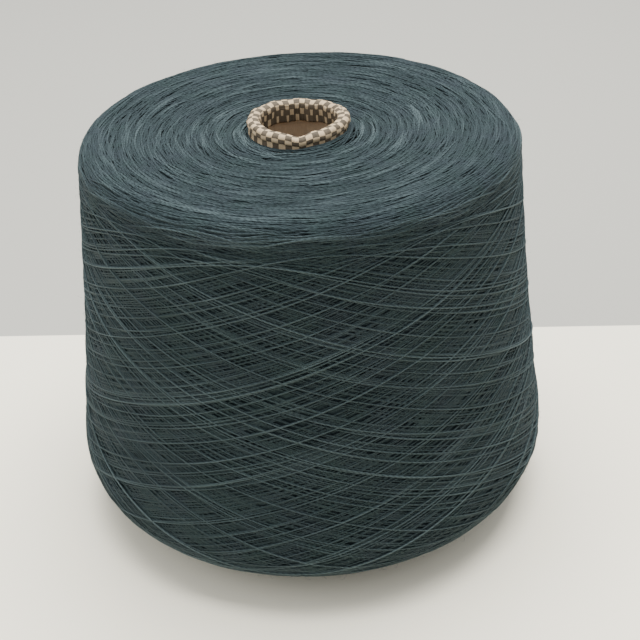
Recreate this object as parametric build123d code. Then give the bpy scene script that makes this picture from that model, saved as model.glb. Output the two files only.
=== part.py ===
from build123d import *

import os
from math import atan2, cos, pi, radians, sin, sqrt, tan

# A cone of knitting yarn: more than a kilogram of cross-wound yarn on a tapered paper cone.
# The cone is four glued paper plies whose small end, the nose, is turned inwards into a
# round bead. The axis is +Z, the base edge stands on Z = 0 and the nose points up.
# Millimetres throughout.

# Paper cone: a standard knitting cone, 5 degrees 57 minutes of half angle and 170 mm long
CONE_LENGTH = 170.0
TAPER = radians(5.95)
BASE_BORE_RADIUS = 34.5
# Plies from the bore outwards, each with its thickness and the angle of its butt seam
PLIES = {
    "liner_ply": (0.4, 205.0),
    "inner_board_ply": (0.7, 295.0),
    "outer_board_ply": (0.7, 115.0),
    "printed_cover_ply": (0.2, 8.0),
}
WALL = sum(thickness for thickness, _ in PLIES.values())
SEAM_GAP = 0.3

# Nose: the whole wall flares, turns over a bead and runs back down inside the bore
BEAD_RADIUS = 2.55
BEAD_STANDS_PROUD = 1.0
FLARE_RADIUS = 2.5
TUCK_DEPTH = 9.0

# Slit in the base edge that traps the start of the yarn
SLIT_WIDTH = 1.2
SLIT_HEIGHT = 6.0
SLIT_ANGLE = 250.0

# Yarn package: the profile's corners are sharp here and rounded afterwards
PACKAGE_BOTTOM = 8.5
PACKAGE_TOP_AT_NOSE = 162.6
PACKAGE_TOP_AT_EDGE = 165.1
BASE_CORNER_RADIUS = 103.5
NOSE_CORNER_RADIUS = 86.4
FLANK_HOLLOW = 1.7
BASE_SHOULDER = 22.0
NOSE_SHOULDER = 6.5

# Reserve tail: close turns of the yarn's start on the bare base of the cone
YARN_DIAMETER = 0.7
TAIL_TURNS = 5
TAIL_START = 2.2

REACH = 400.0

# Radius of the cone's outer surface at the base plane
BASE_RADIUS = BASE_BORE_RADIUS + WALL / cos(TAPER)


def cone_radius(z, depth=0.0):
    """Radius at height z of the surface that lies depth under the cone's outside."""
    return BASE_RADIUS - depth / cos(TAPER) - z * tan(TAPER)


def wall_point(along, out):
    """A point at a distance along the cone's outer generator and out from it."""
    return Vector(
        BASE_RADIUS - along * sin(TAPER) + out * cos(TAPER),
        0,
        along * cos(TAPER) + out * sin(TAPER),
    )


def turned(centre, radius, angle):
    """A point on a circle in the wall's frame, where angle 0 points along the generator."""
    return wall_point(centre[0] + radius * cos(angle), centre[1] + radius * sin(angle))


def wall_line(depth):
    """Edges of the surface depth under the outside: generator, flare, bead, inner leg."""
    bead_out = BEAD_STANDS_PROUD - BEAD_RADIUS
    bead_along = (CONE_LENGTH - BEAD_RADIUS - bead_out * sin(TAPER)) / cos(TAPER)
    bead = (bead_along, bead_out)
    reach = FLARE_RADIUS + BEAD_RADIUS
    flare_along = bead_along - sqrt(reach**2 - (reach - BEAD_STANDS_PROUD) ** 2)
    flare = (flare_along, FLARE_RADIUS)
    meet = atan2(flare[1] - bead[1], flare[0] - bead[0])
    leg_end = bead_along - (TUCK_DEPTH - BEAD_RADIUS)
    # The flare starts square to the generator and ends where it meets the bead
    flare_angles = (-pi / 2, (meet - pi - pi / 2) / 2, meet - pi)
    bead_angles = (meet, (meet - pi / 2) / 2, -pi / 2)
    flare_points = [turned(flare, FLARE_RADIUS + depth, a) for a in flare_angles]
    bead_points = [turned(bead, BEAD_RADIUS - depth, a) for a in bead_angles]
    foot = wall_point(depth * tan(TAPER), -depth)
    leg_foot = wall_point(leg_end, bead[1] - BEAD_RADIUS + depth)
    return [
        Edge.make_line(foot, flare_points[0]),
        Edge.make_three_point_arc(*flare_points),
        Edge.make_three_point_arc(*bead_points),
        Edge.make_line(bead_points[-1], leg_foot),
    ]


def radial_cut(width, height, angle):
    """A thin block from the axis outwards, for a seam or a slit."""
    block = Box(REACH, width, height, align=(Align.MIN, Align.CENTER, Align.CENTER))
    return block.rotate(Axis.Z, angle)


def ply(depth, thickness, seam_angle):
    """One sheet of the wall, butt jointed along a generator, with the slit in its base."""
    outside = wall_line(depth)
    inside = wall_line(depth + thickness)
    base_edge = Edge.make_line(inside[0] @ 0, outside[0] @ 0)
    tuck_edge = Edge.make_line(outside[-1] @ 1, inside[-1] @ 1)
    section = Face(Wire([base_edge, *outside, tuck_edge, *inside]))
    sheet = revolve(section, Axis.Z, 360)
    sheet -= radial_cut(SEAM_GAP, REACH * 2, seam_angle)
    return sheet - radial_cut(SLIT_WIDTH, SLIT_HEIGHT * 2, SLIT_ANGLE)


def yarn_package():
    """The wound yarn: hollow flank, rounded shoulders and a top face dished to the nose."""
    foot = Vector(cone_radius(PACKAGE_BOTTOM), 0, PACKAGE_BOTTOM)
    base_corner = Vector(BASE_CORNER_RADIUS, 0, PACKAGE_BOTTOM)
    nose_corner = Vector(NOSE_CORNER_RADIUS, 0, PACKAGE_TOP_AT_EDGE)
    neck = Vector(cone_radius(PACKAGE_TOP_AT_NOSE), 0, PACKAGE_TOP_AT_NOSE)
    flank_middle = (base_corner + nose_corner) / 2 - Vector(FLANK_HOLLOW, 0, 0)
    outline = Face(
        Wire(
            [
                Edge.make_line(foot, base_corner),
                Edge.make_three_point_arc(base_corner, flank_middle, nose_corner),
                Edge.make_line(nose_corner, neck),
                Edge.make_line(neck, foot),
            ]
        )
    )
    outermost = outline.vertices().sort_by(Axis.X)[-2:].sort_by(Axis.Z)
    outline = outline.fillet_2d(BASE_SHOULDER, [outermost[0]])
    nose_vertex = outline.vertices().sort_by_distance(nose_corner)[0]
    outline = outline.fillet_2d(NOSE_SHOULDER, [nose_vertex])
    return revolve(outline, Axis.Z, 360)


def reserve_tail():
    """The band that the tail's close turns fill, with one round ridge for each turn."""
    foot = TAIL_START / cos(TAPER)
    marks = [foot + turn * YARN_DIAMETER for turn in range(TAIL_TURNS + 1)]
    ridges = [
        Edge.make_three_point_arc(
            wall_point(low, YARN_DIAMETER / 2),
            wall_point((low + high) / 2, YARN_DIAMETER),
            wall_point(high, YARN_DIAMETER / 2),
        )
        for low, high in zip(marks, marks[1:])
    ]
    outline = [
        Edge.make_line(wall_point(marks[0], 0), ridges[0] @ 0),
        *ridges,
        Edge.make_line(ridges[-1] @ 1, wall_point(marks[-1], 0)),
        Edge.make_line(wall_point(marks[-1], 0), wall_point(marks[0], 0)),
    ]
    return revolve(Face(Wire(outline)), Axis.Z, 360)


def main():
    os.makedirs("parts", exist_ok=True)
    nodes = {"yarn_package": yarn_package(), "reserve_tail": reserve_tail()}
    depth = WALL
    for name, (thickness, seam_angle) in PLIES.items():
        depth -= thickness
        nodes[name] = ply(depth, thickness, seam_angle)
    for name, shape in nodes.items():
        export_step(shape, f"parts/{name}.step")


main()
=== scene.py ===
"""A cone of dark teal knitting yarn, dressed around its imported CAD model.

Lengths are metres in the CAD's frame: +Z up the cone's axis, and the origin at the centre of the
base edge. Angles turn about +Z from +X. A place on the package is a distance along its outline,
from the nose over the top face and down the flank to the base. The flank's yarn is laid turn over
turn in the order in which a winding machine lays it, and rides over what is already there.
"""

import math

import bpy
import numpy as np
from mathutils import Matrix, Vector


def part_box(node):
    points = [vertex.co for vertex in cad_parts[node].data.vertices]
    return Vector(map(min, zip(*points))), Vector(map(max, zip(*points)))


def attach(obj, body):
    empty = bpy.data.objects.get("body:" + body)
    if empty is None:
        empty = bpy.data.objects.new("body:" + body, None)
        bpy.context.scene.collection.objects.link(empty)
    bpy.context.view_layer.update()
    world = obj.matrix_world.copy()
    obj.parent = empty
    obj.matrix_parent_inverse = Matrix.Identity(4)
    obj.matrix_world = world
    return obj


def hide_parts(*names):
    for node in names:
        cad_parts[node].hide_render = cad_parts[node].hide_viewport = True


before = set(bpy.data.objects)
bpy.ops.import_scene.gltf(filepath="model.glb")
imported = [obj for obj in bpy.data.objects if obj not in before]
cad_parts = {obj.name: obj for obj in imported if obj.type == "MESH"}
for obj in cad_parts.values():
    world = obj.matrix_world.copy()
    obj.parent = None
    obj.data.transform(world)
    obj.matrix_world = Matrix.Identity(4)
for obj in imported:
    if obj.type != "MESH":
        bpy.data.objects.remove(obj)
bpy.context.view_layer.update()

MM = 0.001
TAU = 2 * math.pi
SEED = 11

# Paper cone: the wall and its rolled nose, as in the CAD
TAPER = math.radians(5.95)

# Each ply's thickness, the angle of its seam and its material slot, from the inside out
PLIES = {
    "liner_ply": (0.4 * MM, math.radians(205), "kraft_liner"),
    "inner_board_ply": (0.7 * MM, math.radians(295), "grey_board"),
    "outer_board_ply": (0.7 * MM, math.radians(115), "grey_board"),
    "printed_cover_ply": (0.2 * MM, math.radians(8), "printed_paper"),
}
SEAM_GAP = 0.3 * MM
COVER_LAP = math.radians(14)
LAP_RISE = math.radians(4)
BEAD_RADIUS = 2.55 * MM
BEAD_STANDS_PROUD = 1.0 * MM
FLARE_RADIUS = 2.5 * MM
TUCK_DEPTH = 9.0 * MM
BEAD_TUCK = 0.6
SLIT_WIDTH = 1.2 * MM
SLIT_HEIGHT = 6 * MM
SLIT_ANGLE = math.radians(250)
NOSE_RADIUS = 19.8 * MM
NOSE_FACET = 0.22 * MM
CHECKS_AROUND = 45.4
WALL_THICKNESS = sum(thickness for thickness, _, _ in PLIES.values())

# Yarn: half its width and half its thickness once it is pressed onto the package, and its twist
HALF_WIDTH = 0.32 * MM
HALF_HEIGHT = 0.29 * MM
TWIST_PITCH = 2.4 * MM

# Tubes of yarn: how far apart their rings are, how many fit in one piece, how small their tips are
RING_SPACING = 2.7 * MM
MOST_RINGS = 16500
TIP_SHARE = 0.2

# The reserve tail: its turns on the bare base of the cone, and how high up the first one lies
TAIL_TURNS = 5
TAIL_START = 2.2 * MM

# Package: how far its top rim stands out of the round, where, and over how much of the outline
RIM_BULGE = 1.5 * MM
RIM_BULGE_AT = math.radians(60)
RIM_BULGE_REACH = 20 * MM

# How far the innermost yarn climbs the nose, how much that differs, its high side and its reach
COLLAR_RISE = 1.95 * MM
COLLAR_TILT = 1.05 * MM
COLLAR_HIGH_AT = math.radians(-15)
COLLAR_REACH = 3.2 * MM

# Core: how deep it lies under the outline, its ribs' pitch for one radian, and their height
CORE_DEPTH = 1.1 * MM
RIB_PITCH = 2.6 * MM
RIB_HEIGHT = 0.3 * MM

# Winding: the strokes of the traverse, the turns that each takes, and how softly it turns back
STROKES = 800
TURNS_PER_STROKE = 0.692
TURN_BACK = math.radians(15)

# The last strokes turn back this far below the rim and above the base edge, and the first ones
# this much further out
NOSE_TURN_DEPTH = 8 * MM
BASE_TURN_HEIGHT = 22 * MM
NOSE_TURN_TRAVEL = 9 * MM
BASE_TURN_TRAVEL = 24 * MM

# The share of the strokes after which they lie looser
LOOSE_FROM = 0.84

# End faces: their arcs, the arcs' lengths in millimetres, and how much of their relief is kept
FACE_ARCS = {"top": 7600, "base": 6400}
ARC_LENGTHS = (12, 34)
FACE_RELIEF = 0.7

# Loose fibres: their number, their lengths in millimetres, and their share of the yarn's thickness
LOOSE_FIBRES = 7000
FIBRE_LENGTHS = (1.5, 4.5)
FIBRE_SHARE = 0.08

# Yarn colours: the ground from dark to pale, odd fibres, the bloom of loose fibres, which also
# paints the highlight on proud strands, and the painted shade of deep strands and ply grooves
YARN_DARK = (0.0070, 0.0138, 0.0155, 1)
YARN_PALE = (0.0165, 0.0290, 0.0316, 1)
YARN_PURPLE = (0.020, 0.025, 0.035, 1)
YARN_GREEN = (0.0140, 0.0300, 0.0260, 1)
YARN_BLOOM_AND_HIGHLIGHT = (0.072, 0.100, 0.102, 1)
YARN_PAINTED_SHADE = (0.0035, 0.0080, 0.0090, 1)

# Paper colours, each a darker and a paler one where there are two
CREAM = (0.36, 0.265, 0.155, 1), (0.55, 0.43, 0.27, 1)
TAUPE = (0.046, 0.037, 0.024, 1), (0.092, 0.073, 0.049, 1)
RULED_LINE = (0.22, 0.165, 0.105, 1)
WORN_PRINT = (0.17, 0.13, 0.09, 1)
KRAFT = (0.44, 0.335, 0.225, 1), (0.64, 0.51, 0.36, 1)
KRAFT_BLOTCH = (0.50, 0.39, 0.28, 1)
BOARD = (0.20, 0.17, 0.13, 1), (0.36, 0.32, 0.26, 1)
BOARD_FLECK = (0.09, 0.08, 0.07, 1)

# Camera: how far from the axis and how high, where it points, and the lens
CAMERA_BACK = 0.4735
CAMERA_UP = 0.3699
CAMERA_DOWN = math.radians(31.91)
CAMERA_YAW = math.radians(0.62)
CAMERA_ROLL = math.radians(-2.49)
LENS = 73.1

# Stage: how far beyond the axis the table's edge is, how far it is turned, and how far all reaches
TABLE_EDGE = 0.11
TABLE_TURN = math.radians(-3.4)
STAGE_REACH = 6.0
TABLE_COLOUR = (0.96, 0.90, 0.72, 1)
BEYOND_COLOUR = (0.39, 0.38, 0.33, 1)

# The middle of the package, which the lights face
LIT_POINT = Vector((0, 0, 0.08))


def smoothed(values, width):
    """Values along a path, averaged with a bell of this standard deviation in samples."""
    reach = int(3 * width) + 1
    bell = np.exp(-0.5 * (np.arange(-reach, reach + 1) / width) ** 2)
    padded = np.pad(values, reach, mode="edge")
    return np.convolve(padded, bell / bell.sum(), mode="valid")


def wave_noise(rng, at, periods, count=4):
    """A smooth random curve around 0, about 1 high, of a few waves with periods between these."""
    total = np.zeros(len(at))
    for _ in range(count):
        period = rng.uniform(*periods)
        total += np.sin(TAU * (at / period + rng.random()))
    return total / math.sqrt(count)


def unit(vectors):
    """These vectors at length 1."""
    return vectors / np.linalg.norm(vectors, axis=-1)[..., None]


def polar(r, angle, z):
    """Points from their distance from the axis, their angle and their height."""
    return np.stack(np.broadcast_arrays(r * np.cos(angle), r * np.sin(angle), z), -1)


def travelled(points):
    """How far along a line each of its points lies."""
    return np.append(0, np.linalg.norm(np.diff(points, axis=0), axis=1).cumsum())


# Meshes


def grid_corners(rows, columns):
    """The row and the column of each corner of each quad, in a grid of this many quads."""
    i, j = np.meshgrid(np.arange(rows), np.arange(columns), indexing="ij")
    row = np.stack([i, i, i + 1, i + 1], -1)
    column = np.stack([j, j + 1, j + 1, j], -1)
    return row.reshape(-1, 4), column.reshape(-1, 4)


def make_mesh(name, points, quads, material, nodes, maps, values):
    """A piece from arrays of points and of quads, which rides on the root and stands for nodes.

    maps are UV maps, with a place for each quad's corners, and values have a number for each point.
    """
    mesh = bpy.data.meshes.new(name)
    mesh.vertices.add(len(points))
    mesh.vertices.foreach_set("co", points.astype(np.float32).ravel())
    mesh.loops.add(quads.size)
    mesh.loops.foreach_set("vertex_index", quads.astype(np.int32).ravel())
    mesh.polygons.add(len(quads))
    mesh.polygons.foreach_set("loop_start", np.arange(0, quads.size, 4, dtype=np.int32))
    mesh.polygons.foreach_set("use_smooth", np.ones(len(quads), bool))
    mesh.update(calc_edges=True)
    for label, corners in maps.items():
        layer = mesh.uv_layers.new(name=label, do_init=False)
        layer.uv.foreach_set("vector", corners.astype(np.float32).ravel())
    for label, numbers in values.items():
        attribute = mesh.attributes.new(label, "FLOAT", "POINT")
        attribute.data.foreach_set("value", numbers.astype(np.float32))
    mesh.validate()
    mesh.materials.append(material)
    piece = bpy.data.objects.new(name, mesh)
    bpy.context.scene.collection.objects.link(piece)
    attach(piece, "root")
    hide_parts(*nodes)
    return piece


# The package's outline


def package_outline():
    """The wound yarn's outline, from the nose over the flank to the base: place, r, z, normal."""
    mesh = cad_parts["yarn_package"].data
    found = np.empty(len(mesh.vertices) * 3)
    mesh.vertices.foreach_get("co", found)
    x, y, z = found.reshape(-1, 3).T
    rim = np.unique(np.stack([np.hypot(x, y), z], 1).round(6), axis=0)
    middle = (rim.min(0) + rim.max(0)) / 2
    neck = rim[rim[:, 0].argmin()]
    low = rim[rim[:, 1] < rim[:, 1].min() + 0.1 * MM]
    foot = low[low[:, 0].argmin()]

    def swept(point):
        first = math.atan2(*(neck - middle)[::-1])
        away = point - middle
        return (first - np.arctan2(away[..., 1], away[..., 0]) + 1e-9) % TAU

    rim = rim[swept(rim) <= swept(foot) + 1e-6]
    rim = rim[swept(rim).argsort()]
    run = travelled(rim)
    place = np.arange(0, run[-1], 0.5 * MM)
    r, z = (smoothed(np.interp(place, run, side), 2) for side in rim.T)
    along = unit(np.stack([np.gradient(r), np.gradient(z)], 1))
    return place, r, z, np.stack([-along[:, 1], along[:, 0]], 1)


PLACE, OUT_R, OUT_Z, OUT_NORMAL = package_outline()
RIM = OUT_Z.argmax()


def on_package(angle, place, height):
    """Points, and the package's outward normals there, at a height over the outline."""
    angle, place, height = np.broadcast_arrays(angle, place, height)
    r, z, out, up = (
        np.interp(place, PLACE, side) for side in (OUT_R, OUT_Z, *OUT_NORMAL.T)
    )
    # The far right of the top rim stands out a little from the round
    beside = 6 * (np.cos(angle - RIM_BULGE_AT) - 1)
    bulge = RIM_BULGE * np.exp(beside - ((place - PLACE[RIM]) / RIM_BULGE_REACH) ** 2)
    points = polar(r + height * out + bulge, angle, z + height * up)
    return points, polar(out, angle, up)


def collar(angle, place):
    """How much further the innermost yarn climbs the nose, on one side more than on the other."""
    rise = COLLAR_RISE + COLLAR_TILT * np.cos(angle - COLLAR_HIGH_AT)
    return rise * np.exp(-((place / COLLAR_REACH) ** 2))


def place_at_height(z):
    """Where the flank passes this height."""
    side = slice(RIM, OUT_Z.argmin() + 1)
    return np.interp(-z, -OUT_Z[side], PLACE[side])


# Winding


class Landscape:
    """How high the yarn laid so far stands, over a grid of angle and place on the outline."""

    # Angle steps in a turn, the width of a step of place, and how many samples a bend takes
    around = 1200
    cell = 0.35 * MM
    bend = 2.2

    def __init__(self):
        self.height = np.zeros((self.around, int(PLACE[-1] / self.cell) + 3), np.float32)

    def lay(self, first, place, press, soft):
        """Lays a run, one sample for each angle step from first on, and returns its heights.

        press is how far it sinks into the yarn that it crosses, in halves of its thickness, and
        soft is how many samples long it stays straight under its tension.
        """
        step = (first + np.arange(len(place))) % self.around
        column = np.clip((place / self.cell).astype(int) + 1, 1, self.height.shape[1] - 2)
        # Beside another strand it wedges in lower than over it
        under = np.max([
            self.height[step, column],
            self.height[step, column - 1] - 0.7 * HALF_HEIGHT,
            self.height[step, column + 1] - 0.7 * HALF_HEIGHT,
        ], axis=0) + (1 - press) * HALF_HEIGHT
        taut = np.maximum(smoothed(under, soft), under - 0.5 * HALF_HEIGHT)
        height = smoothed(taut, self.bend)
        for side, share in ((-1, 0.3), (0, 1.0), (1, 0.3)):
            cells = step, column + side
            self.height[cells] = np.maximum(self.height[cells], height + share * HALF_HEIGHT)
        return height

    def skyline(self):
        """The height of the uppermost yarn at each place along the outline."""
        upper = smoothed(np.percentile(self.height, 65, axis=0), 4 * MM / self.cell)
        return np.interp(PLACE, self.cell * (np.arange(len(upper)) - 0.5), upper)


def face_arcs(rng, landscape, face):
    """Short turn-backs of the inner layers, which make up an end face, in a random order."""
    top = face == "top"
    inner = 0.2 * MM if top else PLACE[-1] - 0.6 * MM
    outer = place_at_height(OUT_Z[RIM] - 7 * MM if top else 24 * MM)
    low, high = sorted((inner, outer))
    places = np.linspace(low, high, 2000)
    weight = np.interp(places, PLACE, OUT_R).cumsum()
    drawn = np.interp(rng.random(FACE_ARCS[face]), weight / weight[-1], places)
    runs = []
    for place in drawn:
        radius = np.interp(place, PLACE, OUT_R)
        length = rng.uniform(*ARC_LENGTHS) * MM
        count = int(length / radius / TAU * landscape.around)
        across = np.linspace(-1, 1, count)
        drift = rng.normal(0, 1.0) * MM * across + rng.normal(0, 0.6) * MM * across**2
        place_run = np.clip(place + drift, PLACE[0], PLACE[-1])
        first = rng.integers(landscape.around)
        height = landscape.lay(first, place_run, press=1.3, soft=5.0)
        # Its ends dive out of sight
        height = height - 0.9 * MM * across**4
        runs.append((first + np.arange(count), place_run, height))
    return runs


def flank_run(rng, landscape):
    """The outer layers: one unbroken run that travels up and down the flank."""
    progress = np.linspace(0, 1, STROKES + 1)
    odd = np.arange(STROKES + 1) % 2 == 1
    spread = rng.uniform(-1, 1, STROKES + 1)
    # The traverse gets shorter at both ends as the package grows, and each stroke's end is uneven
    nose_end = place_at_height(OUT_Z[RIM] - NOSE_TURN_DEPTH) - NOSE_TURN_TRAVEL * (1 - progress)
    base_end = place_at_height(BASE_TURN_HEIGHT) + BASE_TURN_TRAVEL * (1 - progress)
    nose_end = nose_end - 3 * MM + 3 * MM * spread
    base_end = base_end + 6 * MM + 5 * MM * spread
    ends = np.where(odd, nose_end, base_end)
    turns = TURNS_PER_STROKE + 0.02 * wave_noise(rng, np.arange(STROKES), (40, 160))
    turns += rng.normal(0, 0.004, STROKES)
    corners = np.append(0, turns.cumsum()) * landscape.around
    samples = np.arange(int(corners[-1]))
    place = smoothed(np.interp(samples, corners, ends), TURN_BACK / TAU * landscape.around)
    wander = 0.5 * MM * wave_noise(rng, samples.astype(float), (150, 700), 6)
    place = np.clip(place + wander, PLACE[0], PLACE[-1])
    height = np.empty(len(place))
    # The last strokes lie loosest, and each length of yarn is pulled a little tighter or slacker
    loose = np.clip((progress[:-1] - LOOSE_FROM) / (1 - LOOSE_FROM), 0, 1) ** 0.5
    pulled = 0.30 * wave_noise(rng, samples.astype(float), (60, 260), 6)
    for start, end, share in zip(corners[:-1].astype(int), corners[1:].astype(int), loose):
        press = 1.35 - 0.8 * share + pulled[start:end]
        height[start:end] = landscape.lay(start, place[start:end], press, 8 + 10 * share)
    return [(samples, place, smoothed(height, 1.5))]


def strand_rings(rng, run, landscape, skyline, relief):
    """A run as a strand, with six values for each ring of yarn.

    They are its centre, its two half axes as shares of the yarn's, its distance along, its shade,
    and its depth under the package's outline in millimetres.
    """
    samples, place, height = run
    radius = np.interp(place, PLACE, OUT_R)
    travel = np.append(0, np.hypot(np.diff(place), radius[1:] * TAU / landscape.around).cumsum())
    count = max(int(travel[-1] / RING_SPACING), 4)
    at = np.interp(np.linspace(0, travel[-1], count), travel, np.arange(len(place)))
    pick = np.arange(len(place))
    angle = np.interp(at, pick, samples) * TAU / landscape.around
    sunk = relief * (height - np.interp(place, PLACE, skyline))
    points, normals = on_package(angle, np.interp(at, pick, place), np.interp(at, pick, sunk))
    points[:, 2] += collar(angle, np.interp(at, pick, place))
    along = unit(np.gradient(points, axis=0))
    across = unit(np.cross(along, normals))
    upright = np.cross(across, along)
    depth = -np.interp(at, pick, sunk) / MM
    distance = np.interp(at, pick, travel)
    # Spun yarn is a little thicker in some places than in others, and dyed a little unevenly
    thick = 1 + 0.07 * wave_noise(rng, distance, (0.02, 0.2))[:, None]
    shade = rng.random() + 0.5 * wave_noise(rng, distance, (0.2, 1.5))
    return points, across * thick, upright * thick, distance, shade, depth


def bake_map(count, sides):
    """A place of its own for each quad of tubes with this many sides, in rows on a unit square."""
    segment, around = np.divmod(np.arange(count), sides)
    per_row = int(math.sqrt(segment[-1] + 1) * 2.5) + 1
    rows = segment[-1] // per_row + 1
    u = (segment % per_row)[:, None] + np.array([0, 0, 1, 1])
    v = (segment // per_row)[:, None] + (around[:, None] + np.array([0, 1, 1, 0])) / sides
    return np.stack([u / per_row, v / rows], -1)


def tube_mesh(name, strands, sides, material, nodes):
    """One piece from many strands: thin tubes, with a map along them and a map to bake on."""
    points, quads, along, shades, depths = [], [], [], [], []
    base = 0
    turn = TAU * np.arange(sides)[None, :, None] / sides
    for centre, across, upright, distance, shade, depth in strands:
        ring = (
            centre[:, None]
            + HALF_WIDTH * np.cos(turn) * across[:, None]
            + HALF_HEIGHT * np.sin(turn) * upright[:, None]
        )
        # The first and last rings narrow to a tip
        ring[0] = centre[0] + TIP_SHARE * (ring[0] - centre[0])
        ring[-1] = centre[-1] + TIP_SHARE * (ring[-1] - centre[-1])
        row, column = grid_corners(len(centre) - 1, sides)
        points.append(ring.reshape(-1, 3))
        quads.append(base + row * sides + column % sides)
        along.append(np.stack([distance[row] / TWIST_PITCH, column / sides], -1))
        shades.append(np.repeat(shade, sides))
        depths.append(np.repeat(depth, sides))
        base += len(centre) * sides
    quads = np.concatenate(quads)
    maps = {"strand": np.concatenate(along), "OFBake": bake_map(len(quads), sides)}
    values = {"shade": np.concatenate(shades), "depth": np.concatenate(depths)}
    return make_mesh(name, np.concatenate(points), quads, material, nodes, maps, values)


def in_chunks(strands, most_rings):
    """Cuts long strands and shares all of them out into groups of at most this many rings."""
    groups, room = [[]], most_rings
    for strand in strands:
        while len(strand[0]) > room:
            if room > 8:
                groups[-1].append(tuple(part[:room] for part in strand))
                strand = tuple(part[room - 1 :] for part in strand)
            groups.append([])
            room = most_rings
        groups[-1].append(strand)
        room -= len(strand[0])
    return groups


def core(material):
    """The yarn under the strands that are drawn one by one: a closed body, ribbed like them."""
    around = 360
    angle = TAU * np.arange(around)[:, None] / around
    place = PLACE[::2][None, :]
    count = place.size
    phase = place / RIB_PITCH
    ribs = np.maximum(np.sin(phase + 18 * angle), np.sin(1.07 * phase - 17 * angle))
    points, _ = on_package(angle, place, RIB_HEIGHT * ribs - CORE_DEPTH)
    row, column = grid_corners(around, count)
    quads = row % around * count + column % count
    u, v = row / around, column / count
    maps = {"strand": np.stack([u * 250, v * 200], -1), "OFBake": np.stack([u, v], -1)}
    # Its depth value sets how much painted shade the yarn material puts on it, in the gaps between
    # strands
    values = {"shade": np.full(around * count, 0.3), "depth": np.full(around * count, 0.55)}
    return make_mesh(
        "yarn_core", points.reshape(-1, 3), quads, material, ["yarn_package"], maps, values
    )


def package(material):
    """The wound yarn as its core and every strand that shows."""
    rng = np.random.default_rng(SEED)
    landscape = Landscape()
    runs = {
        "yarn_top_face": face_arcs(rng, landscape, "top"),
        "yarn_base_face": face_arcs(rng, landscape, "base"),
        "yarn_flank": flank_run(rng, landscape),
    }
    skyline = landscape.skyline()
    core(material)
    for name, group in runs.items():
        relief = 1.0 if name == "yarn_flank" else FACE_RELIEF
        strands = [strand_rings(rng, run, landscape, skyline, relief) for run in group]
        for number, part in enumerate(in_chunks(strands, MOST_RINGS)):
            tube_mesh(f"{name}_{number + 1}", part, 6, material, ["yarn_package"])


def loose_fibres(material):
    """Short fine fibres that stand off the yarn all over the package."""
    rng = np.random.default_rng(SEED + 3)
    weight = OUT_R.cumsum()
    place = np.interp(rng.random(LOOSE_FIBRES), weight / weight[-1], PLACE)[:, None]
    along = np.linspace(0, 1, 5)[None, :]
    length = rng.uniform(*FIBRE_LENGTHS, LOOSE_FIBRES)[:, None] * MM * along
    heading = rng.uniform(0, TAU, LOOSE_FIBRES)[:, None]
    heading = heading + rng.normal(0, 0.8, (LOOSE_FIBRES, 1)) * along
    angle = rng.uniform(0, TAU, LOOSE_FIBRES)[:, None]
    angle = angle + length * np.cos(heading) / np.interp(place, PLACE, OUT_R)
    place = np.clip(place + 0.4 * length * np.sin(heading), PLACE[0], PLACE[-1])
    rise = rng.gamma(2.0, 0.35, LOOSE_FIBRES)[:, None] * MM
    points, normals = on_package(angle, place, rise * np.sin(2.2 * along) - 0.2 * MM)
    points[..., 2] += collar(angle, place)
    forward = np.gradient(points, axis=1)
    across = unit(np.cross(forward, normals))
    upright = unit(np.cross(across, forward))
    # Their depth value gives them the yarn material's painted highlight
    shade, depth = rng.random((LOOSE_FIBRES, 5)), np.full(5, -0.2)
    strands = [
        (points[i], FIBRE_SHARE * across[i], FIBRE_SHARE * upright[i], length[i], shade[i], depth)
        for i in range(LOOSE_FIBRES)
    ]
    tube_mesh("yarn_loose_fibres", strands, 3, material, ["yarn_package"])


# Paper cone


BASE_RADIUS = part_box("printed_cover_ply")[1][0]
CONE_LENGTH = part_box("printed_cover_ply")[1][2]


def wall_point(along, out):
    """Radius and height of a point along the cone's outer wall from its base, and out from it."""
    radius = BASE_RADIUS - along * math.sin(TAPER) + out * math.cos(TAPER)
    return radius, along * math.cos(TAPER) + out * math.sin(TAPER)


def wall_line(depth, facet=0.0):
    """The line of the wall at this depth under its outer face: along, out, and the share tucked in.

    It runs up the wall, out round the flare, over the bead and back down inside the bore.
    """
    bead_out = BEAD_STANDS_PROUD - BEAD_RADIUS
    bead_along = (CONE_LENGTH - BEAD_RADIUS - bead_out * math.sin(TAPER)) / math.cos(TAPER)
    reach = FLARE_RADIUS + BEAD_RADIUS
    flare_along = bead_along - math.sqrt(reach**2 - (reach - BEAD_STANDS_PROUD) ** 2)
    meet = math.atan2(FLARE_RADIUS - bead_out, flare_along - bead_along)
    leg_end = bead_along - (TUCK_DEPTH - BEAD_RADIUS)
    straight = np.linspace(depth * math.tan(TAPER), flare_along, 40)[:-1]
    line = [(along, -depth, 0.0) for along in straight]
    radius = FLARE_RADIUS + depth
    for angle in np.linspace(-math.pi / 2, meet - math.pi, 8)[:-1]:
        along = flare_along + radius * math.cos(angle)
        out = FLARE_RADIUS + radius * math.sin(angle)
        line.append((along, out, 0.0))
    for turn in np.linspace(0, 1, 30)[:-1]:
        angle = meet + (-math.pi / 2 - meet) * turn
        radius = BEAD_RADIUS - depth - facet * math.cos(4 * angle)
        along = bead_along + radius * math.cos(angle)
        out = bead_out + radius * math.sin(angle)
        line.append((along, out, BEAD_TUCK * turn))
    for turn in np.linspace(0, 1, 12):
        along = bead_along + (leg_end - bead_along) * turn
        out = bead_out - BEAD_RADIUS + depth
        line.append((along, out, BEAD_TUCK + (1 - BEAD_TUCK) * turn))
    return np.array(line)


def round_noise(rng, periods, count):
    """A smooth random curve that ends as it starts. Its periods are shares of its one turn."""
    curve = wave_noise(rng, np.linspace(0, 1, 721), periods, count)
    curve[-60:] += np.linspace(0, 1, 60) * (curve[0] - curve[-1])
    return curve


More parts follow.
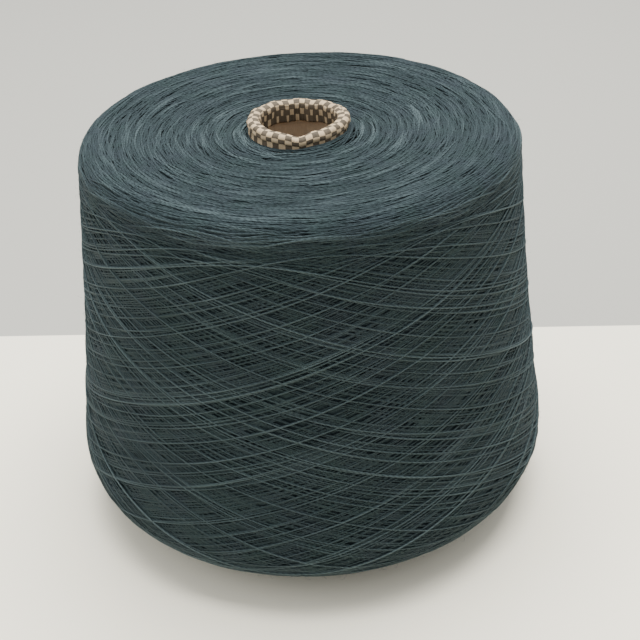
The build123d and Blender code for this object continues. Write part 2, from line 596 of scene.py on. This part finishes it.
def hand_bent(rng):
    """How the rolled nose is out of true: shifts out and up, by angle, height and tuck."""
    pleats = round_noise(rng, (1 / 34, 1 / 20), 6)
    puckers = round_noise(rng, (1 / 15, 1 / 8), 5)
    wheel = np.linspace(0, TAU, len(pleats))
    bead_middle = CONE_LENGTH - BEAD_RADIUS

    def bent(angle, z, tuck):
        near_nose = np.clip((z - (CONE_LENGTH - 20 * MM)) / (13 * MM), 0, 1)
        near_nose = near_nose**2 * (3 - 2 * near_nose)
        from_front = (angle + math.pi / 2 + math.pi) % TAU - math.pi
        dent = np.exp(-((from_front / math.radians(13)) ** 2))
        pleat = np.interp(angle % TAU, wheel, pleats)
        pucker = np.interp(angle % TAU, wheel, puckers)
        # Out of round and puckered, dented down and outwards at the front, pleated where tucked in
        out = 0.35 * np.cos(2 * angle) + 0.2 * np.cos(3 * angle - 1) + 0.12 * pucker
        out = near_nose * (out + (0.5 + 1.1 * tuck) * dent)
        out += 0.5 * tuck * np.minimum(np.abs(pleat) - 1.2, 0)
        up = 0.17 * pucker + 0.15 * np.cos(2 * angle + 0.6) - (0.8 + 0.5 * tuck) * dent
        # The roll is pressed a little flat
        above = z - bead_middle
        pressed = 0.26 * above * np.exp(-((above / (4.5 * MM)) ** 2))
        return out * MM, near_nose * up * MM - pressed

    return bent


def sheet_angles(seam, lap):
    """The angles at which a ply's points lie, and which of these are inside the slit."""
    gap = SEAM_GAP / 2 / BASE_RADIUS
    slit = SLIT_WIDTH / 2 / BASE_RADIUS
    edge = 0.02 * MM / BASE_RADIUS
    slit_at = SLIT_ANGLE if SLIT_ANGLE > seam + gap else SLIT_ANGLE + TAU
    around = np.linspace(seam + gap, seam + TAU - gap + lap, 361)
    around = around[np.abs(around - slit_at) > slit + edge]
    around = np.append(around, slit_at + np.array([-slit - edge, -slit, 0, slit, slit + edge]))
    around.sort()
    return around, np.abs(around - slit_at) < slit + edge / 2


def ply_section(depths, facet=0.0):
    """A ply's closed outline: up its outer face and back down its inner one."""
    outer, inner = (wall_line(depth, facet) for depth in depths)
    return np.concatenate([outer, inner[::-1]])


def check_rows(outer):
    """The print's rows along a ply's outer face.

    The checks widen with the cone, and stay one size from the flare on.
    """
    run = travelled(outer[:, :2])
    radius = np.maximum(BASE_RADIUS - run * math.sin(TAPER), NOSE_RADIUS)
    return np.append(0, np.diff(run) / radius[1:]).cumsum() * CHECKS_AROUND / TAU


def ply_sheet(name, bent, material, seam, depths, lap=0.0):
    """One ply of the wall: a bent sheet with its seam open, or with one edge lapped over."""
    around, in_slit = sheet_angles(seam, lap)
    outline = ply_section(depths)
    count = len(outline)
    half = count // 2
    # The roll is creased more in some places than in others
    crease = 0.5 + 0.5 * np.sin(2 * around + 1) * np.cos(5 * around)
    facets = ply_section(depths, NOSE_FACET) - outline
    along, out, tuck = np.moveaxis(outline + crease[:, None, None] * facets, -1, 0)
    slit_reach = CONE_LENGTH - 2 * TUCK_DEPTH
    raised = SLIT_HEIGHT + along * (1 - SLIT_HEIGHT / slit_reach)
    along = np.where(in_slit[:, None] & (along < slit_reach), raised, along)
    # The lapped edge lies on the edge it started from, so it's a ply's thickness further out
    if lap:
        over = np.clip((around - (around[-1] - lap - LAP_RISE)) / LAP_RISE, 0, 1)
        out = out + (depths[1] - depths[0]) * over[:, None] * np.where(tuck > 0.3, -1, 1)
    r, z = wall_point(along, out)
    angle = np.tile(around[:, None], (1, count))
    shift, lift = bent(angle, z, tuck)
    points = polar(r + shift, angle, z + lift)

    row, column = grid_corners(len(around) - 1, count)
    quads = (row * count + column % count)[:, [0, 3, 2, 1]]
    low = np.arange(half - 1)
    first = np.stack([low, low + 1, count - 2 - low, count - 1 - low], -1)
    last = (len(around) - 1) * count + first[:, ::-1]
    quads = np.concatenate([quads, first, last])

    rows = check_rows(outline[:half])
    rows = np.tile(np.append(rows, rows[::-1]), (len(around), 1))
    columns = (angle - seam) * CHECKS_AROUND / TAU
    # The tucked-in paper is gathered, so its columns of checks wander
    columns = columns + 0.22 * tuck * np.sin(angle * 31) * np.sin(angle * 7 + 1)
    place = np.stack([columns, rows], -1).reshape(-1, 2)
    maps, values = {"sheet": place[quads]}, {"tuck": tuck.ravel()}
    return make_mesh(
        f"{name}_sheet", points.reshape(-1, 3), quads, material, [name], maps, values
    )


def cone():
    """The cone's four plies, nested, with the printed cover outermost."""
    bent = hand_bent(np.random.default_rng(SEED + 1))
    materials = {
        "kraft_liner": kraft_material(),
        "grey_board": board_material(),
        "printed_paper": print_material(),
    }
    depth = WALL_THICKNESS
    for name, (thickness, seam, slot) in PLIES.items():
        lap = COVER_LAP if slot == "printed_paper" else 0.0
        ply_sheet(name, bent, materials[slot], seam, (depth - thickness, depth), lap)
        depth -= thickness


def reserve_tail(material):
    """The transfer tail: a few turns round the base, tucked in through the slit at one end."""
    rng = np.random.default_rng(SEED + 2)
    sweep = np.radians(np.arange(-30, 360 * TAIL_TURNS + 20, 2.5))
    angle = SLIT_ANGLE + sweep
    turn = sweep / TAU
    z = TAIL_START + HALF_WIDTH + turn.clip(0) * 2.15 * HALF_WIDTH
    wall = BASE_RADIUS - z * math.tan(TAPER)
    # It starts inside the wall, and comes out through the slit
    inside = 1 - 1 / (1 + np.exp(-sweep / math.radians(1.2)))
    r = wall + HALF_HEIGHT - inside * (WALL_THICKNESS + 2.2 * HALF_HEIGHT)
    r += 0.05 * MM * wave_noise(rng, sweep, (1, 4))
    # Its last quarter turn climbs towards the package
    rise = np.clip((turn - TAIL_TURNS + 0.28) / 0.3, 0, 1) ** 2
    points = polar(r + rise * 0.6 * MM, angle, z + rise * 3.5 * MM)
    outward = unit(polar(1.0, angle, math.tan(TAPER)))
    along = unit(np.gradient(points, axis=0))
    across = unit(np.cross(along, outward))
    distance = travelled(points)
    shade = 0.5 + 0.4 * wave_noise(rng, distance, (0.2, 1.0))
    # Its depth value gives it a little of the yarn material's painted highlight
    depth = np.full(len(points), 0.1)
    strand = points, across, np.cross(across, along), distance, shade, depth
    tube_mesh("reserve_tail_turns", [strand], 10, material, ["reserve_tail"])


# Materials


class Nodes:
    """A short way to write a material's node tree."""

    def __init__(self, name):
        self.material = bpy.data.materials.new(name)
        self.material.use_nodes = True
        self.tree = self.material.node_tree
        self.shader = self.tree.nodes["Principled BSDF"]

    def add(self, kind, output=0, settings=None, **inputs):
        """A node with its settings and inputs, as one of its outputs. i0 is its first input."""
        node = self.tree.nodes.new(kind)
        for key, value in (settings or {}).items():
            setattr(node, key, value)
        for key, value in inputs.items():
            number = int(key[1:]) if key[1:].isdigit() else key.replace("_", " ")
            self.put(node.inputs[number], value)
        return node.outputs[output]

    def put(self, socket, value):
        """Links a socket to another one, or sets it to a number or a colour."""
        if isinstance(value, bpy.types.NodeSocket):
            self.tree.links.new(value, socket)
        else:
            socket.default_value = value

    def surface(self, **inputs):
        """Sets the shader's inputs."""
        for key, value in inputs.items():
            self.put(self.shader.inputs[key.replace("_", " ")], value)

    def uv(self, name):
        """The u and v of a UV map."""
        place = self.add("ShaderNodeUVMap", settings={"uv_map": name})
        return [self.add("ShaderNodeSeparateXYZ", axis, i0=place) for axis in ("X", "Y")]

    def body(self):
        """The place in the object itself, in metres."""
        return self.add("ShaderNodeTexCoord", "Object")

    def attribute(self, name):
        """A number that the mesh has for each point."""
        return self.add("ShaderNodeAttribute", "Fac", {"attribute_name": name})

    def math(self, operation, *values):
        inputs = {f"i{number}": value for number, value in enumerate(values)}
        return self.add("ShaderNodeMath", settings={"operation": operation}, **inputs)

    def ramp(self, value, low, high):
        """value, stretched so that low becomes 0 and high becomes 1."""
        return self.add("ShaderNodeMapRange", Value=value, From_Min=low, From_Max=high)

    def mix(self, share, low, high):
        """A colour between two, from low at a share of 0 to high at a share of 1."""
        return self.add("ShaderNodeMix", 2, {"data_type": "RGBA"}, i0=share, i6=low, i7=high)

    def tint(self, colour, value, low, high, most, towards):
        """colour, mixed towards another by up to this share as value goes from low to high."""
        share = self.math("MULTIPLY", self.ramp(value, low, high), most)
        return self.mix(share, colour, towards)

    def noise(self, vector, scale, detail=2.0, roughness=0.5):
        return self.add(
            "ShaderNodeTexNoise", Vector=vector, Scale=scale, Detail=detail, Roughness=roughness
        )

    def bump(self, height, strength, distance):
        return self.add("ShaderNodeBump", Height=height, Strength=strength, Distance=distance)


def yarn_material():
    """Two-fold spun yarn: twisted plies, mottled fibres, a soft bloom, and painted highlight and
    shade.
    """
    n = Nodes("teal_yarn")
    turn, side = n.uv("strand")
    phase = n.math("MULTIPLY", n.math("ADD", turn, n.math("MULTIPLY", side, 2.0)), TAU)
    ply = n.ramp(n.math("SINE", phase), -1.0, 0.6)
    lengthwise = n.add("ShaderNodeCombineXYZ", i0=n.math("MULTIPLY", turn, 0.8), i1=phase, i2=0.0)
    fibres = n.noise(lengthwise, 3.0, 3.0, 0.6)
    body = n.body()
    mottle = n.noise(body, 420.0, 3.0, 0.6)
    patch = n.noise(body, 85.0, 2.0, 0.5)
    shade, depth = n.attribute("shade"), n.attribute("depth")
    tone = n.math("ADD", n.math("MULTIPLY", shade, 0.22), n.math("MULTIPLY", mottle, 0.9))
    colour = n.mix(n.ramp(tone, 0.2, 0.95), YARN_DARK, YARN_PALE)
    colour = n.tint(colour, patch, 0.52, 0.68, 0.28, YARN_PURPLE)
    colour = n.tint(colour, patch, 0.48, 0.34, 0.30, YARN_GREEN)
    colour = n.tint(colour, fibres, 0.46, 0.74, 0.34, YARN_BLOOM_AND_HIGHLIGHT)
    # Strands that stand proud get a painted highlight, and the ones below them painted shade
    colour = n.tint(colour, depth, 0.30, -0.45, 0.85, YARN_BLOOM_AND_HIGHLIGHT)
    colour = n.tint(colour, depth, 0.35, 1.2, 0.40, YARN_PAINTED_SHADE)
    # Painted shade also darkens the grooves between the plies
    colour = n.tint(colour, ply, 0.45, 0.0, 0.6, YARN_PAINTED_SHADE)
    relief = n.math("ADD", ply, n.math("MULTIPLY", fibres, 0.5))
    n.surface(
        Base_Color=colour,
        Normal=n.bump(relief, 0.6, 0.08 * MM),
        Roughness=0.85,
        Specular_IOR_Level=0.2,
        Sheen_Weight=0.04,
        Sheen_Roughness=0.5,
        Sheen_Tint=(0.7, 0.9, 0.95, 1),
    )
    return n.material


def paper_fibres(n, place, scale):
    """Fine fibres that lie every way in a sheet of paper."""
    broad = n.noise(place, scale, 4.0, 0.65)
    fine = n.noise(place, scale * 4.3, 3.0, 0.6)
    return n.math("ADD", n.math("MULTIPLY", broad, 0.55), n.math("MULTIPLY", fine, 0.45))


def print_material():
    """Cover paper printed with cream and taupe checks, each ruled with faint fine lines."""
    n = Nodes("printed_checks")
    body = n.body()
    column, row = n.uv("sheet")
    ragged = n.math("MULTIPLY", n.math("SUBTRACT", n.noise(body, 900.0), 0.5), 0.10)
    column, row = n.math("ADD", column, ragged), n.math("ADD", row, ragged)
    odd = n.math("ADD", n.math("FLOOR", column), n.math("FLOOR", row))
    check = n.math("ABSOLUTE", n.math("MODULO", odd, 2.0))
    # In the tucked-in paper, painted shade in the gathers turns the sides of its checks taupe
    gathered = n.math("MULTIPLY", n.ramp(n.attribute("tuck"), 0.25, 0.75), 0.20)
    aside = n.math("ABSOLUTE", n.math("SUBTRACT", n.math("FRACT", column), 0.5))
    painted_pleat_shade = n.math("GREATER_THAN", aside, n.math("SUBTRACT", 0.5, gathered))
    check = n.math("MAXIMUM", check, painted_pleat_shade)
    fibres = paper_fibres(n, body, 700.0)
    wear = n.noise(body, 160.0, 3.0, 0.6)
    grain = n.ramp(fibres, 0.3, 0.7)
    colour = n.mix(check, n.mix(grain, *CREAM), n.mix(grain, *TAUPE))
    lines = n.math("SINE", n.math("MULTIPLY", n.math("ADD", column, row), TAU * 4))
    colour = n.tint(colour, lines, 0.3, 1.0, 0.22, RULED_LINE)
    colour = n.tint(colour, wear, 0.45, 0.75, 0.3, WORN_PRINT)
    n.surface(
        Base_Color=colour,
        Normal=n.bump(fibres, 0.35, 0.06 * MM),
        Roughness=n.add("ShaderNodeMapRange", Value=wear, To_Min=0.62, To_Max=0.85),
        Specular_IOR_Level=0.2,
    )
    return n.material


def kraft_material():
    """Brown kraft paper, with long darker and paler fibres."""
    n = Nodes("kraft_paper")
    body = n.body()
    stretched = n.add("ShaderNodeMapping", Vector=body, Scale=(1.0, 1.0, 0.25))
    fibres = paper_fibres(n, stretched, 900.0)
    blotch = n.noise(body, 60.0, 3.0, 0.6)
    colour = n.mix(n.ramp(fibres, 0.3, 0.72), *KRAFT)
    colour = n.tint(colour, blotch, 0.4, 0.7, 0.35, KRAFT_BLOTCH)
    n.surface(Base_Color=colour, Normal=n.bump(fibres, 0.5, 0.08 * MM), Roughness=0.85)
    return n.material


def board_material():
    """Grey board: recycled pulp with dark and pale flecks."""
    n = Nodes("grey_board")
    body = n.body()
    pulp = paper_fibres(n, body, 1100.0)
    colour = n.mix(n.ramp(pulp, 0.3, 0.7), *BOARD)
    colour = n.tint(colour, n.noise(body, 1500.0, 1.0), 0.66, 0.72, 0.6, BOARD_FLECK)
    n.surface(Base_Color=colour, Normal=n.bump(pulp, 0.6, 0.1 * MM), Roughness=0.9)
    return n.material


def stage_material(name, colour):
    """A plain surface with a faint mottle."""
    n = Nodes(name)
    grain = n.noise(n.body(), 6.0, 3.0, 0.5)
    darker = [channel * 0.985 for channel in colour[:3]] + [1]
    n.surface(Base_Color=n.mix(grain, darker, colour), Roughness=0.6)
    return n.material


# Stage


def stage():
    """A pale table top, and a slightly darker surface beyond its far edge."""
    surfaces = {
        "table_top": (-STAGE_REACH, 0.0, TABLE_COLOUR),
        "beyond_table": (0.0, STAGE_REACH, BEYOND_COLOUR),
    }
    spin = Matrix.Rotation(TABLE_TURN, 2)
    for name, (near, far, colour) in surfaces.items():
        corners = [(x, y) for y in (near, far) for x in (-STAGE_REACH, STAGE_REACH)]
        placed = [spin @ Vector(corner) + Vector((0, TABLE_EDGE)) for corner in corners]
        mesh = bpy.data.meshes.new(name)
        mesh.from_pydata([(x, y, 0) for x, y in placed], [], [(0, 1, 3, 2)])
        mesh.materials.append(stage_material(name, colour))
        floor = bpy.data.objects.new(name, mesh)
        bpy.context.scene.collection.objects.link(floor)


def area_light(name, at, size, power, colour=(1, 1, 1)):
    """A square light that faces the middle of the package."""
    light = bpy.data.lights.new(name, "AREA")
    light.size = size
    light.energy = power
    light.color = colour
    lamp = bpy.data.objects.new(name, light)
    lamp.location = at
    lamp.rotation_mode = "QUATERNION"
    lamp.rotation_quaternion = (LIT_POINT - Vector(at)).to_track_quat("-Z", "Y")
    bpy.context.scene.collection.objects.link(lamp)


def lights():
    """Soft light from above, a little daylight from the left, and a bright room all round."""
    area_light("overhead", at=(0.1, 0.25, 1.45), size=1.2, power=57)
    area_light("left_window", at=(-1.3, -0.4, 0.9), size=1.0, power=7, colour=(0.95, 0.98, 1))
    world = bpy.data.worlds.new("room_light")
    world.use_nodes = True
    background = world.node_tree.nodes["Background"]
    background.inputs["Color"].default_value = (0.93, 0.95, 1.0, 1)
    background.inputs["Strength"].default_value = 1.02
    bpy.context.scene.world = world


def camera():
    """The camera at the photograph's place, turned and rolled as it was there."""
    data = bpy.data.cameras.new("camera")
    data.lens = LENS
    forward = Vector((
        math.sin(CAMERA_YAW) * math.cos(CAMERA_DOWN),
        math.cos(CAMERA_YAW) * math.cos(CAMERA_DOWN),
        -math.sin(CAMERA_DOWN),
    ))
    right = Vector((math.cos(CAMERA_YAW), -math.sin(CAMERA_YAW), 0))
    up = right.cross(forward)
    rolled_right = math.cos(CAMERA_ROLL) * right + math.sin(CAMERA_ROLL) * up
    rolled_up = -math.sin(CAMERA_ROLL) * right + math.cos(CAMERA_ROLL) * up
    turned = Matrix((rolled_right, rolled_up, -forward)).transposed().to_4x4()
    eye = bpy.data.objects.new("camera", data)
    eye.matrix_world = Matrix.Translation((0, -CAMERA_BACK, CAMERA_UP)) @ turned
    bpy.context.scene.collection.objects.link(eye)
    bpy.context.scene.camera = eye


camera()
lights()
stage()
yarn = yarn_material()
package(yarn)
loose_fibres(yarn)
reserve_tail(yarn)
cone()
